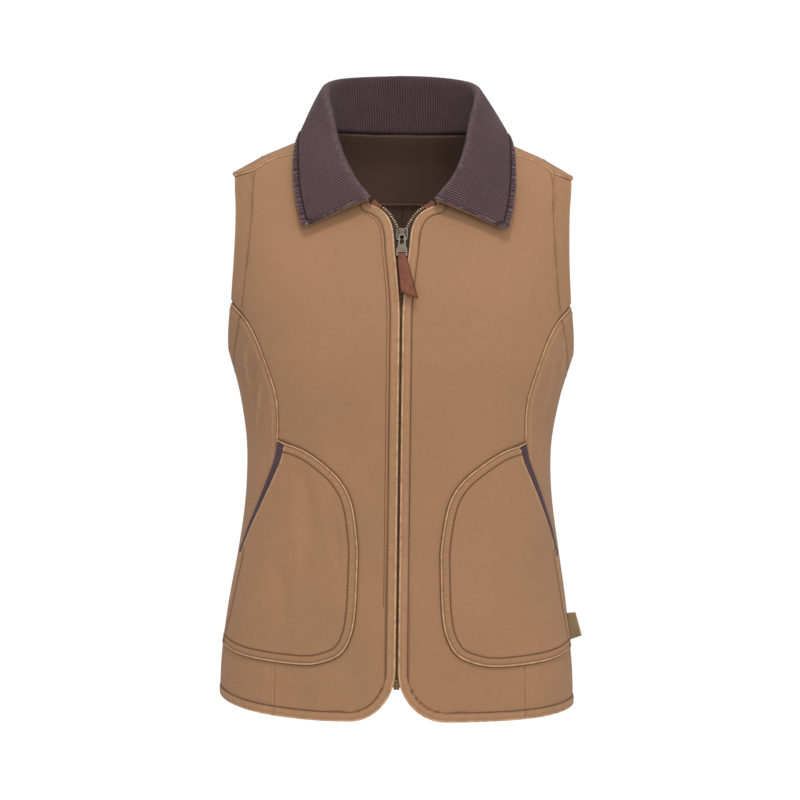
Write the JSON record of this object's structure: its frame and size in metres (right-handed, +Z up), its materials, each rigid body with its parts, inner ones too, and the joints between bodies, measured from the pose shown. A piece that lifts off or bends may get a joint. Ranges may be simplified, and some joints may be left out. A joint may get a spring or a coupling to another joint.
{
  "type": "work vest",
  "caption": "Sleeveless canvas work vest with a folded corduroy collar, curved patch pockets with corduroy-edged mouths and a separating front zip with a hinged leather pull, shaped as worn.",
  "frame": {"origin": "between the side neck points, at the height where the shoulders carry the vest", "axes": "+Z up, +Y to the back, +X to the wearer's left"},
  "size_m": [0.3775, 0.2445, 0.6666],
  "materials": {
    "canvas": "washed cotton duck, matt",
    "corduroy": "fine-wale corduroy, soft pile",
    "facing": "plain weave, matt",
    "tape": "woven zip tape",
    "leather": "smooth, slightly worn",
    "pewter": "aged, satin",
    "brass": "aged, satin",
    "label": "woven, matt"
  },
  "bodies": {
    "vest": {"front_panel_right": "canvas", "front_panel_left": "canvas", "side_panel_right": "canvas", "side_panel_left": "canvas", "back_panel": "canvas", "back_facing": "facing", "collar": "corduroy", "under_collar": "canvas", "pocket_right": "canvas", "pocket_left": "canvas", "pocket_trim_right": "corduroy", "pocket_trim_left": "corduroy", "zip_tape_right": "tape", "zip_tape_left": "tape", "zip_teeth_right": "brass", "zip_teeth_left": "brass", "zip_end_right": "leather", "zip_end_left": "leather", "zip_slider": "pewter", "zip_box": "brass", "label_tab": "label"},
    "pull": {"zip_pull": "pewter", "pull_tab": "leather"}
  },
  "joints": [
    {"name": "pull_hinge", "type": "hinge", "parent": "vest", "child": "pull", "pos_m": [0, -0.10271, -0.11552], "axis": [-1, 0, 0], "range_deg": [0, 150]}
  ]
}
